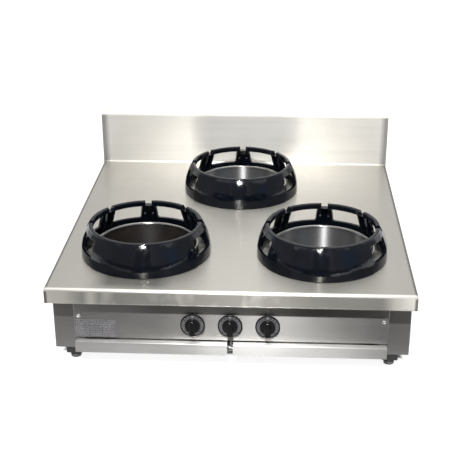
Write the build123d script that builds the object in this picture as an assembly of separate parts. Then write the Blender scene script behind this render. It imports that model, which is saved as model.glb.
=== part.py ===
"""Three-burner gas wok range, built in millimetres.

+X is to the cook's right, +Y to the back, +Z up. The origin is on the floor,
under the middle of the range.
"""
from build123d import *
import math
import os

os.makedirs("parts", exist_ok=True)

# ---------------------------------------------------------------- driving sizes
# Overall body
worktop_width = 900.0
worktop_depth = 900.0           # front edge to the face of the splashback
splash_depth = 50.0
splash_height = 163.0           # above the cooking surface
body_height = 200.0             # cooking surface to the underside of the body

# Sheet thicknesses
worktop_sheet = 1.5
body_sheet = 1.2
well_sheet = 1.5
tray_sheet = 1.0
rail_sheet = 1.5

# Worktop pressing
apron_height = 39.5
worktop_bend = 6.0
apron_hem = 14.0
corner_radius = 2.5
splash_bend = 3.0
splash_cove = 5.0
cove_toe = 0.4

# Body shell
skirt_gap = 2.0                 # side panel to the inside of the worktop's skirt
post_setback = 68.0             # worktop's front edge to the face of the body
back_setback = 20.0             # worktop's rear edge to the back of the body
post_width = 75.0
rear_post_width = 30.0
top_flange_width = 25.0
post_bend = 2.4
roof_bend = 3.5

# Control panel
panel_setback = 42.0
panel_margin = 57.0             # side of the body to the panel's end
panel_tray_gap = 3.5
panel_top_drop = 46.0
panel_bend = 2.0
screw_inset = 12.5
screw_rise = 60.5               # panel's lower edge to the screws' axis
screw_thread_radius = 2.5
screw_head_radius = 5.2
screw_head_height = 2.8
screw_slot_width = 1.2
screw_slot_depth = 1.1
screw_tail = 6.0
screw_hole_gap = 0.06
plate_width = 98.0
plate_height = 46.0
plate_thickness = 0.8
plate_inset = 5.0
plate_lift = 4.5
plate_corner = 2.0

# Front, rear and middle rails
upper_rail_height = 55.0
upper_rail_flange = 19.0
lower_rail_height = 8.5
lower_rail_flange = 30.0
beam_width = 40.0
beam_depth = 22.0

# Drip trays
tray_setback = 26.0
tray_front_height = 30.0
tray_rail_gap = 2.0
tray_margin = 2.5               # end of the panel to the tray's side
tray_gap = 14.0
tray_pan_length = 770.0
tray_pan_height = 25.0
tray_pan_outer_inset = 21.0
tray_pan_inner_inset = 4.0
tray_bend = 2.0
tray_lip = 6.0
runner_leg = 20.0
runner_thickness = 2.5
runner_web = 18.0
runner_side_gap = 4.0
centre_web = 5.0
slide_gap = 0.3                 # between pieces that slide or lift off
match = 0.05                    # how near an edge lies to the place that picks it

# Cooking positions
front_burner_x = 227.0
front_burner_setback = 227.0
rear_burner_setback = 680.0
burner_keys = ("left", "rear", "right")

# Wells
well_radius = 134.7
well_rise = 24.0                # above the cooking surface
well_gap = 5.0                  # above the pilot tubes
well_bottom_opening = 108.0
well_bead = 4.5
well_fit = 0.3

# Wok rings, measured up from the cooking surface
ring_base_radius = 167.0
ring_height = 84.0
ring_straight = 10.0
ring_rim_outer = 146.0
ring_rim_inner = 135.0
ring_rim_depth = 14.0
ring_rim_round = 3.5
ring_wall = 7.0
ring_foot_chamfer = 1.5
post_pitch = 45.0               # degrees between the posts
post_angle = 14.0
window_bottom = 27.0
window_top = 69.0
window_corner = 5.0
notch_width = 17.0
notch_depth = 12.0
rib_width = 5.0
rib_spacing = 22.0
rib_reach = 9.0                 # below the windows
rib_foot = 6.0                  # inside the wall at a rib's lower end
rib_inset = 0.3                 # behind the rim's inner face
shield_step = 2.0
shield_bottom = 3.0
ring_turn = 4.0                 # degrees: the front rings stand slightly turned

# Burners, measured from the burner's centre
bowl_radius = 55.0
bowl_wall = 6.0
head_radius = 65.0
head_rise = 58.8                # horn's axis to the top of the burner head
head_crown = 20.0
head_neck = 6.5                 # height of the narrow foot under the crown
head_round = 5.0
head_bore = 22.0
head_bore_wall = 3.0
head_spigot = 8.0
head_fit = 0.3
port_count = 28
port_radius = 2.2
inner_port_count = 12
inner_port_circle = 34.0
horn_radius = 18.5
horn_rise = 23.2                # top of the burner beams to the horn's axis
horn_bore = 14.5
horn_reach = 100.0
horn_end_wall = 5.0
air_slot_count = 3
air_slot_length = 14.0
air_slot_angle = 50.0
shutter_wall = 2.5
shutter_length = 22.0
shutter_fit = 0.08
shutter_end_gap = 3.0
injector_radius = 6.0
injector_fit = 0.06
injector_tip = 14.0
injector_hex = 17.0
injector_hex_length = 9.0
injector_hole = 1.4
pilot_radius = 6.0
pilot_round = 3.0
pilot_height = 26.0
pilot_bracket = 3.0
pilot_circle = 72.0
pilot_turn = 32.0               # degrees from the horn
pilot_tube_radius = 3.0
pilot_line_rise = 24.8          # horn's axis to the pilot tubes
pilot_bend = 9.0

# Gas line
knob_spacing = 92.7
knob_rise = 45.2                # panel's lower edge to the knobs' axis
valve_radius = 13.0
valve_gap = 18.0                # panel's face to the valve's nose
valve_length = 50.0
valve_nose_radius = 9.0
valve_nose = 8.0
manifold_radius = 13.45
manifold_drop = 33.0            # valve axis to the manifold's axis
manifold_wall = 2.65
manifold_left_reach = 45.0
inlet_inset = 46.5              # side of the body to the inlet's axis
inlet_reach = 40.0              # end of the manifold to the inlet's axis
inlet_rise = 42.0
inlet_bend = 18.0
inlet_stub = 20.0               # thread's end behind the back of the body
inlet_thread_radius = 13.2
inlet_thread_length = 16.0
inlet_hole_gap = 2.0
branch_radius = 8.0
gas_pipe_radius = 6.0
gas_pipe_bore = 4.0
gas_pipe_bend = 15.0
outlet_boss_radius = 8.5
outlet_boss = 6.0

# Knobs and spindles
knob_travel = 3.0
knob_gap = 4.2                  # panel's face to the back of the knob
skirt_radius = 30.5
skirt_thickness = 4.5
skirt_round = 1.2
dial_outer = 27.5
dial_inner = 19.2
dial_thickness = 0.8
dial_recess_gap = 0.1
hub_radius = 19.0
hub_height = 7.0
hub_round = 3.0
grip_width = 15.0
grip_length = 41.0
grip_height = 21.0
grip_round = 3.0
knob_bore_depth = 16.0
spindle_radius = 4.0
spindle_flat = 3.0
spindle_fit = 0.05
spindle_hole = 7.0              # in the control panel
spindle_passage = 5.75          # in a valve's nose
spindle_seat = 8.0              # spindle's end inside the valve's plug
plug_front_radius = 8.0
plug_rear_radius = 6.5
plug_length = 26.0
plug_fit = 0.06
plug_port = 2.5
plug_end_gap = 1.0

# Feet
block_size = 40.0
block_height = 19.0
block_inset = 46.0              # body's side to the middle of a foot
block_front_gap = 4.0
block_edge = 1.5
foot_radius = 13.5
foot_neck_radius = 10.5
foot_pad_height = 9.0
foot_neck_height = 8.7
foot_round = 1.5
stud_radius = 5.0
stud_above_block = 12.0
stud_fit = 0.07

# ---------------------------------------------------------------- derived places
front = -(worktop_depth + splash_depth) / 2
back = -front
half_width = worktop_width / 2
splash_face = front + worktop_depth
block_low = foot_pad_height + foot_neck_height + slide_gap
body_bottom = block_low + block_height
top = body_bottom + body_height
body_top = top - worktop_sheet
body_side = half_width - worktop_sheet - skirt_gap
web_inside = body_side - body_sheet
post_face = front + post_setback
body_back = back - back_setback
post_inner = body_side - post_width
lower_rail_top = body_bottom + lower_rail_height
runner_top = lower_rail_top + runner_thickness
tray_front_bottom = lower_rail_top + tray_rail_gap
tray_top = tray_front_bottom + tray_front_height
panel_face = front + panel_setback
panel_half_width = body_side - panel_margin
panel_bottom = tray_top + panel_tray_gap
panel_top = top - panel_top_drop
screw_x = panel_half_width - screw_inset
screw_axis = panel_bottom + screw_rise
tray_face = front + tray_setback
tray_outer_x = panel_half_width - tray_margin
tray_inner_x = tray_gap / 2
pan_outer_x = tray_outer_x - tray_pan_outer_inset
pan_inner_x = tray_inner_x + tray_pan_inner_inset
pan_bottom = runner_top + slide_gap
knob_axis = panel_bottom + knob_rise
knob_back = panel_face - knob_gap
horn_axis = knob_axis
beam_top = horn_axis - horn_rise
head_top = horn_axis + head_rise
pilot_line = horn_axis + pilot_line_rise
well_low = pilot_line + pilot_tube_radius + well_gap
valve_front = panel_face + valve_gap
valve_back = valve_front + valve_length
valve_middle = valve_front + valve_length / 2
seat_start = valve_front + valve_nose
manifold_axis = knob_axis - manifold_drop
inlet_x = body_side - inlet_inset
manifold_right = inlet_x - inlet_reach
foot_x = body_side - block_inset
foot_y_front = post_face + block_front_gap + block_size / 2
foot_y_rear = body_back - block_front_gap - block_size / 2
burner_places = {
    "left": (-front_burner_x, front + front_burner_setback),
    "rear": (0.0, front + rear_burner_setback),
    "right": (front_burner_x, front + front_burner_setback),
}
knob_places = {"left": -knob_spacing, "rear": 0.0, "right": knob_spacing}
horn_headings = {"left": 0.0, "rear": -90.0, "right": 180.0}
ring_turns = {"left": ring_turn, "rear": 0.0, "right": -ring_turn}
shield_half_angle = post_pitch + post_angle / 2


# ---------------------------------------------------------------- small helpers
def block(x0, x1, y0, y1, z0, z1):
    """A box given by its two corners."""
    middle = Pos((x0 + x1) / 2, (y0 + y1) / 2, (z0 + z1) / 2)
    return middle * Box(abs(x1 - x0), abs(y1 - y0), abs(z1 - z0))


def upright(radius, z0, z1, x=0.0, y=0.0):
    """A vertical cylinder between two heights."""
    return Pos(x, y, (z0 + z1) / 2) * Cylinder(radius, z1 - z0)


def along_y(radius, y0, y1, x=0.0, z=0.0):
    """A cylinder that runs front to back."""
    return Pos(x, (y0 + y1) / 2, z) * Rot(90, 0, 0) * Cylinder(radius, y1 - y0)


def along_x(radius, x0, x1, y=0.0, z=0.0):
    """A cylinder that runs from side to side."""
    return Pos((x0 + x1) / 2, y, z) * Rot(0, 90, 0) * Cylinder(radius, x1 - x0)


def pipe(points, bend, radius, bore=0.0):
    """A round pipe along straight runs with bends between them."""
    path = FilletPolyline(*points, radius=bend) if len(points) > 2 else Line(*points)
    start = Plane(origin=path @ 0, z_dir=path % 0)
    solid = sweep(start * Circle(radius), path=path)
    if bore:
        solid -= sweep(start * Circle(bore), path=path)
    return solid


def hexagon(across_flats, length):
    """A hexagonal prism on its own z axis, from 0 up."""
    return extrude(RegularPolygon(across_flats / 2, 6, major_radius=False), length)


def mirrored(piece):
    """The same piece on the other side of the range."""
    return mirror(piece, about=Plane.YZ)


def edges_near(piece, axis, x=None, y=None, z=None):
    """The straight edges along one axis that lie at the given coordinates."""
    found = []
    for edge in piece.edges().filter_by(axis):
        centre = edge.center()
        if x is not None and abs(centre.X - x) > match:
            continue
        if y is not None and abs(centre.Y - y) > match:
            continue
        if z is not None and abs(centre.Z - z) > match:
            continue
        found.append(edge)
    return found


def save(piece, node):
    """Writes one node's STEP file."""
    piece.label = node
    export_step(piece, os.path.join("parts", node + ".step"))


# ---------------------------------------------------------------- worktop
def worktop_block(inset, bend, low):
    """The pressing's outline, drawn in by the sheet where it is the inside."""
    side = half_width - inset
    high = top - inset
    cooking = block(-side, side, front + inset, splash_face, low, high)
    rounded = edges_near(cooking, Axis.X, y=front + inset, z=high)
    for x in (-side, side):
        rounded += edges_near(cooking, Axis.Y, x=x, z=high)
    cooking = fillet(rounded, bend)
    cooking = fillet(edges_near(cooking, Axis.Z, y=front + inset), corner_radius - inset)
    return cooking + block(-side, side, splash_face, back - inset, low, high)


def make_worktop():
    low = top - apron_height
    shell = worktop_block(0.0, worktop_bend, low)
    inside = worktop_block(worktop_sheet, worktop_bend - worktop_sheet, low - worktop_sheet)
    shell -= inside
    hem_side = half_width - worktop_sheet - skirt_gap
    hem_front = front + worktop_sheet / 2
    shell += block(-hem_side, hem_side, hem_front, front + apron_hem, low, low + worktop_sheet)
    for x, y in burner_places.values():
        shell -= upright(well_radius + well_fit, low, top + worktop_sheet, x, y)
    return shell


def make_splashback():
    high = top + splash_height
    shell = block(-half_width, half_width, splash_face, back, top, high)
    shell = fillet(edges_near(shell, Axis.X, y=splash_face, z=high), splash_bend)
    inner = half_width - worktop_sheet
    shell -= block(-inner, inner, splash_face + worktop_sheet, back - worktop_sheet,
                   top - worktop_sheet, high - worktop_sheet)
    with BuildPart() as cove:
        with BuildSketch(Plane.YZ.offset(-half_width)):
            with BuildLine():
                Polyline((splash_face, top + splash_cove), (splash_face, top),
                         (splash_face - splash_cove, top),
                         (splash_face - splash_cove, top + cove_toe))
                RadiusArc((splash_face - splash_cove, top + cove_toe),
                          (splash_face - cove_toe, top + splash_cove), splash_cove - cove_toe)
                Line((splash_face - cove_toe, top + splash_cove),
                     (splash_face, top + splash_cove))
            make_face()
        extrude(amount=worktop_width)
    return shell + cove.part


# ---------------------------------------------------------------- wells and wok rings
def make_well(key):
    x, y = burner_places[key]
    low = well_low
    high = top + well_rise
    inner = well_radius - well_sheet
    bead_inner = well_radius - well_bead
    section = Polyline((well_bottom_opening, low), (well_radius, low), (well_radius, high),
                       (bead_inner, high), (bead_inner, high - well_bead),
                       (inner, high - well_bead), (inner, low + well_sheet),
                       (well_bottom_opening, low + well_sheet), close=True)
    well = revolve(Plane.XZ * make_face(section), Axis.Z)
    bead_edges = [edge for edge in well.edges().filter_by(GeomType.CIRCLE)
                  if abs(edge.center().Z - high) < match]
    well = fillet(bead_edges, well_sheet)
    return Pos(x, y, 0) * well


def ring_swell(grow):
    """Radius of the bulging outside of a ring that is fuller by grow."""
    rise = ring_height - ring_rim_round - ring_straight
    drawn_in = ring_base_radius + grow - ring_rim_outer
    return (rise ** 2 + drawn_in ** 2) / (2 * drawn_in)


def ring_radius(height, depth=0.0):
    """Radius of the bulging wall at a height, at a depth under its outside."""
    swell = ring_swell(0.0)
    centre = ring_base_radius - swell
    return centre + math.sqrt((swell - depth) ** 2 - (height - ring_straight) ** 2)


def ring_section(grow):
    """Half section of a ring, fuller by grow on its outside."""
    foot = slide_gap
    base = ring_base_radius + grow
    inner_base = ring_base_radius - ring_wall
    rim_bottom = ring_height - ring_rim_depth
    rim_round = ring_height - ring_rim_round
    shoulder_height = rim_bottom - ring_rim_round
    shoulder = (ring_radius(shoulder_height, ring_wall), shoulder_height)
    lines = [
        Line((inner_base, foot), (base - ring_foot_chamfer, foot)),
        Line((base - ring_foot_chamfer, foot), (base, foot + ring_foot_chamfer)),
        Line((base, foot + ring_foot_chamfer), (base, ring_straight)),
        RadiusArc((base, ring_straight), (ring_rim_outer, rim_round), -ring_swell(grow)),
        RadiusArc((ring_rim_outer, rim_round), (ring_rim_outer - ring_rim_round, ring_height),
                  -ring_rim_round),
        Line((ring_rim_outer - ring_rim_round, ring_height),
             (ring_rim_inner + ring_rim_round, ring_height)),
        RadiusArc((ring_rim_inner + ring_rim_round, ring_height), (ring_rim_inner, rim_round),
                  -ring_rim_round),
        Line((ring_rim_inner, rim_round), (ring_rim_inner, rim_bottom)),
        Line((ring_rim_inner, rim_bottom), shoulder),
        RadiusArc(shoulder, (inner_base, ring_straight), ring_swell(0.0) - ring_wall),
        Line((inner_base, ring_straight), (inner_base, foot)),
    ]
    return Plane.XZ * make_face(lines)


def ring_window(direction):
    """A rounded window cut outwards through the ring's wall."""
    middle = (ring_base_radius + ring_rim_inner) / 2
    width = 2 * middle * math.sin(math.radians((post_pitch - post_angle) / 2))
    height = window_top - window_bottom
    face = Plane.YZ * RectangleRounded(width, height, window_corner)
    cutter = extrude(face, ring_base_radius + ring_wall)
    return Rot(0, 0, direction) * Pos(0, 0, (window_bottom + window_top) / 2) * cutter


def ring_rib():
    """A rib inside a post, widening upwards from the wall to the rim."""
    low = window_bottom - rib_reach
    high = ring_height - ring_rim_depth + rib_inset
    inner_low = ring_radius(low, ring_wall) - rib_foot
    inner_high = ring_rim_inner + rib_inset
    outline = Polyline((inner_low, low), (ring_radius(low, ring_wall / 2), low),
                       (ring_radius(high, ring_wall / 2), high), (inner_high, high), close=True)
    return Pos(0, rib_width / 2, 0) * extrude(Plane.XZ * make_face(outline), rib_width)


def make_ring(key):
    x, y = burner_places[key]
    ring = revolve(ring_section(0.0), Axis.Z)
    shield = revolve(ring_section(shield_step), Axis.Z, 2 * shield_half_angle)
    shield = Rot(0, 0, -90 - shield_half_angle) * shield
    ring += shield - upright(ring_base_radius + ring_wall, 0, shield_bottom)
    posts = [90 + step * post_pitch for step in (-2, -1, 0, 1, 2)]
    for post in posts:
        for side in (-1, 1):
            ring += Rot(0, 0, post) * Pos(0, side * rib_spacing / 2, 0) * ring_rib()
    for step in (-2.5, -1.5, -0.5, 0.5, 1.5, 2.5):
        ring -= ring_window(90 + step * post_pitch)
    for post in posts:
        notch = block(ring_rim_inner - ring_wall, ring_base_radius, -notch_width / 2,
                      notch_width / 2, ring_height - notch_depth, ring_height + notch_depth)
        ring -= Rot(0, 0, post) * notch
    return Pos(x, y, top) * Rot(0, 0, ring_turns[key]) * ring


# ---------------------------------------------------------------- body shell
def make_side_panel():
    """The right side; the left one is its mirror image."""
    low = body_bottom
    high = body_top
    outline = FilletPolyline((post_inner, post_face + body_sheet / 2),
                             (body_side - body_sheet / 2, post_face + body_sheet / 2),
                             (body_side - body_sheet / 2, body_back - body_sheet / 2),
                             (body_side - rear_post_width, body_back - body_sheet / 2),
                             radius=post_bend)
    panel = extrude(Pos(0, 0, low) * trace(outline, line_width=body_sheet),
                    high - roof_bend - low)
    side_inside = body_side - body_sheet / 2
    floor = block(post_inner, side_inside, post_face + body_sheet / 2,
                  body_back - body_sheet / 2, low, low + body_sheet)
    panel += fillet(edges_near(floor, Axis.Z, x=side_inside), post_bend)
    fold = FilletPolyline((side_inside, high - 2 * roof_bend), (side_inside, high - body_sheet / 2),
                          (body_side - top_flange_width, high - body_sheet / 2),
                          radius=roof_bend - body_sheet / 2)
    roof_section = Plane.XZ * trace(fold, line_width=body_sheet)
    roof_length = body_back - post_face - 4 * post_bend
    panel += Pos(0, body_back - 2 * post_bend, 0) * extrude(roof_section, roof_length)
    for y in (foot_y_front, foot_y_rear):
        panel -= upright(stud_radius + stud_fit, low - body_sheet, low + 2 * body_sheet, foot_x, y)
    screw = (post_face - body_sheet, post_face + 2 * body_sheet)
    panel -= along_y(screw_thread_radius + screw_hole_gap, *screw,
                     screw_x, screw_axis)
    return panel


def make_back_panel():
    low = lower_rail_top
    sheet_front = body_back - 2 * body_sheet
    side = web_inside - post_bend
    panel = block(-side, side, sheet_front, body_back - body_sheet, low, body_top)
    panel += block(-post_inner, post_inner, sheet_front - top_flange_width + body_sheet,
                   sheet_front, low, low + body_sheet)
    hole = along_y(manifold_radius + inlet_hole_gap, sheet_front - body_sheet, body_back,
                   inlet_x, manifold_axis + inlet_rise)
    return panel - hole


def make_upper_rail():
    high = body_top
    low = high - upper_rail_height
    rail = block(-post_inner, post_inner, post_face, post_face + rail_sheet, low, high)
    rail += block(-post_inner, post_inner, post_face, post_face + upper_rail_flange,
                  high - rail_sheet, high)
    return rail


def make_lower_rail(outside, inward, reach):
    """A flanged rail across the foot of the body; inward is +1 or -1 along y."""
    high = lower_rail_top
    rail = block(-reach, reach, outside, outside + inward * rail_sheet, body_bottom, high)
    rail += block(-reach, reach, outside, outside + inward * lower_rail_flange,
                  high - rail_sheet, high)
    return rail


def make_beam(y):
    """A channel across the body that carries burners."""
    low = beam_top - beam_depth
    beam = block(-web_inside, web_inside, y - beam_width / 2, y + beam_width / 2, low, beam_top)
    beam -= block(-half_width, half_width, y - beam_width / 2 + rail_sheet,
                  y + beam_width / 2 - rail_sheet, low - rail_sheet, beam_top - rail_sheet)
    return beam


# ---------------------------------------------------------------- control panel
def make_control_panel():
    panel = block(-panel_half_width, panel_half_width, panel_face, post_face,
                  panel_bottom, panel_top)
    front_edges = [edge for edge in panel.edges() if abs(edge.center().Y - panel_face) < match]
    panel = fillet(front_edges, panel_bend)
    inner = panel_half_width - body_sheet
    hollow = block(-inner, inner, panel_face + body_sheet, post_face + body_sheet,
                   panel_bottom + body_sheet, panel_top - body_sheet)
    hollow_edges = [edge for edge in hollow.edges()
                    if abs(edge.center().Y - panel_face - body_sheet) < match]
    panel -= fillet(hollow_edges, panel_bend - body_sheet)
    cut = (panel_face - body_sheet, panel_face + 2 * body_sheet)
    for x in knob_places.values():
        panel -= along_y(spindle_hole, *cut, x, knob_axis)
    for side in (-1, 1):
        panel -= along_y(screw_thread_radius + screw_hole_gap, *cut, side * screw_x, screw_axis)
    return panel


def make_rating_plate():
    """A blank plate."""
    left = -panel_half_width + plate_inset
    low = panel_bottom + plate_lift
    plate = block(left, left + plate_width, panel_face - plate_thickness, panel_face,
                  low, low + plate_height)
    return fillet(plate.edges().filter_by(Axis.Y), plate_corner)


def make_panel_screw(x):
    z = screw_axis
    head = along_y(screw_head_radius, panel_face - screw_head_height, panel_face, x, z)
    rim = [edge for edge in head.edges().filter_by(GeomType.CIRCLE)
           if edge.center().Y < panel_face - screw_head_height / 2]
    head = fillet(rim, screw_head_height / 2)
    slot = block(x - screw_head_radius, x + screw_head_radius,
                 panel_face - screw_head_height - screw_slot_depth,
                 panel_face - screw_head_height + screw_slot_depth,
                 z - screw_slot_width / 2, z + screw_slot_width / 2)
    shank = along_y(screw_thread_radius, panel_face, post_face + screw_tail, x, z)
    return head + shank - slot


def make_panel_screws():
    return Compound(children=[make_panel_screw(-screw_x), make_panel_screw(screw_x)])


# ---------------------------------------------------------------- drip trays
def make_tray():
    """The right tray; the left one is its mirror image."""
    face = block(tray_inner_x, tray_outer_x, tray_face, panel_face,
                 tray_front_bottom, tray_top)
    face = fillet(edges_near(face, Axis.X, y=tray_face, z=tray_top), tray_bend)
    face -= block(tray_inner_x - tray_sheet, tray_outer_x + tray_sheet,
                  tray_face + tray_sheet, panel_face + tray_sheet,
                  tray_front_bottom - tray_sheet, tray_top - tray_sheet)
    face += block(tray_inner_x, tray_outer_x, tray_face + tray_sheet / 2, tray_face + tray_lip,
                  tray_front_bottom, tray_front_bottom + tray_sheet)
    rear = panel_face + tray_pan_length
    pan_top = pan_bottom + tray_pan_height
    pan = block(pan_inner_x, pan_outer_x, panel_face - tray_sheet, rear, pan_bottom, pan_top)
    pan = fillet(pan.edges().filter_by(Axis.Z), tray_bend)
    hollow = block(pan_inner_x + tray_sheet, pan_outer_x - tray_sheet, panel_face,
                   rear - tray_sheet, pan_bottom + tray_sheet, pan_top + tray_sheet)
    pan -= fillet(hollow.edges().filter_by(Axis.Z), tray_bend - tray_sheet / 2)
    bridge = block(pan_inner_x + tray_bend, pan_outer_x - tray_bend, panel_face - tray_sheet,
                   panel_face, pan_top - tray_sheet, tray_top)
    return face + pan + bridge


def make_side_runner():
    """The right runner; the left one is its mirror image."""
    web_x = pan_outer_x + runner_side_gap
    start = post_face + body_sheet + slide_gap
    end = body_back - 2 * body_sheet - top_flange_width
    runner = block(web_x + runner_thickness - runner_leg, web_x + runner_thickness, start, end,
                   lower_rail_top, runner_top)
    runner += block(web_x, web_x + runner_thickness, start, end, lower_rail_top,
                    lower_rail_top + runner_web)
    return runner


def make_centre_runner():
    start = post_face
    end = body_back - 2 * body_sheet - top_flange_width
    leg = pan_inner_x + runner_leg
    runner = block(-leg, leg, start, end, lower_rail_top, runner_top)
    runner += block(-centre_web / 2, centre_web / 2, start, end, lower_rail_top,
                    lower_rail_top + runner_web)
    return runner


# ---------------------------------------------------------------- burners
def place_burner(key, piece):
    """Turns a burner piece's +X to the horn's heading and moves it to its place."""
    x, y = burner_places[key]
    return Pos(x, y, 0) * Rot(0, 0, horn_headings[key]) * piece


def air_slots(start):
    """Cutters for the air slots round the horn, from start outwards."""
    slots = []
    for index in range(air_slot_count):
        face = Pos(horn_radius, 0, 0) * Rectangle(horn_radius, 2 * horn_radius
                                                  * math.sin(math.radians(air_slot_angle / 2)))
        slot = Pos(start, 0, 0) * Rot(0, 90, 0) * extrude(face, air_slot_length)
        slots.append(Rot(360 / air_slot_count * index, 0, 0) * slot)
    return slots


def make_burner_base(key):
    bowl_top = head_top - head_crown
    bowl = upright(bowl_radius, beam_top, bowl_top)
    horn = along_x(horn_radius, 0, horn_reach, 0, horn_axis)
    base = bowl + horn
    base -= upright(bowl_radius - bowl_wall, beam_top + bowl_wall, bowl_top + bowl_wall)
    base -= along_x(horn_bore, 0, horn_reach - horn_end_wall, 0, horn_axis)
    start = horn_reach - shutter_end_gap - (shutter_length + air_slot_length) / 2
    for slot in air_slots(start):
        base -= Pos(0, 0, horn_axis) * slot
    base -= along_x(injector_radius + injector_fit, horn_reach - 2 * horn_end_wall,
                    horn_reach + horn_end_wall, 0, horn_axis)
    return place_burner(key, base)


def make_burner_head(key):
    high = head_top
    low = high - head_crown
    head = upright(head_radius, low + head_neck, high)
    head += upright(bowl_radius, low, low + head_neck)
    outer = [edge for edge in head.edges().filter_by(GeomType.CIRCLE)
             if abs(edge.center().Z - high) < match]
    head = fillet(outer, head_round)
    head += upright(bowl_radius - bowl_wall - head_fit, low - head_spigot, low)
    chamber = bowl_radius - 2 * bowl_wall
    head -= upright(chamber, low - head_spigot - head_crown, high - bowl_wall)
    head += upright(head_bore + head_bore_wall, high - 2 * bowl_wall, high)
    head -= upright(head_bore, high - 3 * bowl_wall, high + bowl_wall)
    for index in range(port_count):
        turn = 360 / port_count * index
        port = Pos(head_radius - bowl_wall, 0, high - bowl_wall) * Rot(0, 45, 0)
        port = port * Cylinder(port_radius, 6 * bowl_wall)
        head -= Rot(0, 0, turn) * port
    for index in range(inner_port_count):
        turn = math.radians(360 / inner_port_count * index)
        x = inner_port_circle * math.cos(turn)
        y = inner_port_circle * math.sin(turn)
        head -= upright(port_radius, high - 2 * bowl_wall, high + bowl_wall, x, y)
    return place_burner(key, head)


def make_air_shutter(key):
    inside = horn_radius + shutter_fit
    end = horn_reach - shutter_end_gap
    sleeve = along_x(inside + shutter_wall, end - shutter_length, end, 0, horn_axis)
    sleeve -= along_x(inside, end - 2 * shutter_length, end + shutter_length, 0, horn_axis)
    start = end - (shutter_length + air_slot_length) / 2
    for slot in air_slots(start):
        sleeve -= Pos(0, 0, horn_axis) * slot
    return place_burner(key, sleeve)


def make_injector(key):
    end = horn_reach
    body = along_x(injector_radius, end - injector_tip, end, 0, horn_axis)
    nut = Rot(0, 90, 0) * hexagon(injector_hex, injector_hex_length)
    body += Pos(end, 0, horn_axis) * nut
    body -= along_x(injector_hole, end - 2 * injector_tip, end + 2 * injector_tip, 0, horn_axis)
    return place_burner(key, body)


def make_injectors():
    return Compound(children=[make_injector(key) for key in burner_keys])


def make_injector_pipe(key):
    """From the valve's outlet to the injector."""
    x, y = burner_places[key]
    turn = math.radians(horn_headings[key])
    reach = horn_reach + injector_hex_length
    end = (x + reach * math.cos(turn), y + reach * math.sin(turn), horn_axis)
    start = (knob_places[key], valve_back + outlet_boss, horn_axis)
    if abs(start[0] - end[0]) < gas_pipe_radius:
        points = [start, end]
    else:
        points = [start, (start[0], end[1], horn_axis), end]
    return pipe(points, gas_pipe_bend, gas_pipe_radius, gas_pipe_bore)


def make_pilot(key):
    """A pilot burner beside a burner's head, with its supply tube from the valve."""
    x, y = burner_places[key]
    side = -1 if key == "right" else 1
    turn = math.radians(horn_headings[key] - side * pilot_turn)
    place_x = x + pilot_circle * math.cos(turn)
    place_y = y + pilot_circle * math.sin(turn)
    high = head_top - head_crown / 2
    low = high - pilot_height
    pilot = upright(pilot_radius, low, high, place_x, place_y)
    tip = [edge for edge in pilot.edges().filter_by(GeomType.CIRCLE)
           if abs(edge.center().Z - high) < match]
    pilot = fillet(tip, pilot_round)
    bracket = block(bowl_radius + slide_gap, pilot_circle, -pilot_bracket, pilot_bracket,
                    low, low + pilot_bracket)
    pilot += Pos(x, y, 0) * Rot(0, 0, math.degrees(turn)) * bracket
    start = knob_places[key]
    points = [(start, valve_middle, knob_axis + valve_radius), (start, valve_middle, pilot_line),
              (start, place_y, pilot_line), (place_x, place_y, pilot_line)]
    tube = pipe(points, pilot_bend, pilot_tube_radius)
    return pilot + tube


def make_pilots():
    return Compound(children=[make_pilot(key) for key in burner_keys])


# ---------------------------------------------------------------- gas line
def make_valve_body(key):
    x = knob_places[key]
    body = along_y(valve_radius, valve_front, valve_back, x, knob_axis)
    body += along_y(valve_nose_radius, valve_front - valve_nose, valve_front, x, knob_axis)
    body += along_y(outlet_boss_radius, valve_back, valve_back + outlet_boss, x, knob_axis)
    stub_bottom = manifold_axis + manifold_radius
    body += upright(branch_radius, stub_bottom, knob_axis, x, valve_middle)
    body -= Pos(x, 0, knob_axis) * seat_cone(plug_fit)
    body -= along_y(spindle_passage, valve_front - 2 * valve_nose, seat_start, x, knob_axis)
    body -= along_y(plug_port, seat_start, valve_back + 2 * outlet_boss, x, knob_axis)
    body -= upright(plug_port, stub_bottom - plug_port, knob_axis, x, valve_middle)
    return body


def seat_cone(clearance):
    """The taper of a valve's plug, or its seat when there is a clearance."""
    cone = Cone(plug_front_radius + clearance, plug_rear_radius + clearance,
                plug_length + 2 * clearance)
    return Pos(0, seat_start + plug_length / 2, 0) * Rot(-90, 0, 0) * cone


def spindle_shape(start, end, clearance):
    """A round bar with one flat, running front to back."""
    radius = spindle_radius + clearance
    bar = along_y(radius, start, end)
    return bar - block(-radius, radius, start - radius, end + radius,
                       spindle_flat + clearance, 2 * radius)


def make_valve_plug(key):
    """Shut as it stands: its side port meets the branch after a quarter turn."""
    plug = seat_cone(0.0)
    bore_end = seat_start + spindle_seat + knob_travel + plug_end_gap
    plug -= spindle_shape(seat_start - spindle_seat, bore_end, spindle_fit)
    plug -= along_y(plug_port, valve_middle - plug_port, seat_start + 2 * plug_length)
    plug -= along_x(plug_port, -2 * plug_front_radius, 0, valve_middle)
    return Pos(knob_places[key], 0, knob_axis) * plug


def make_spindle(key):
    start = knob_back - knob_bore_depth
    end = seat_start + spindle_seat
    return Pos(knob_places[key], 0, knob_axis) * spindle_shape(start, end, 0.0)


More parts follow.
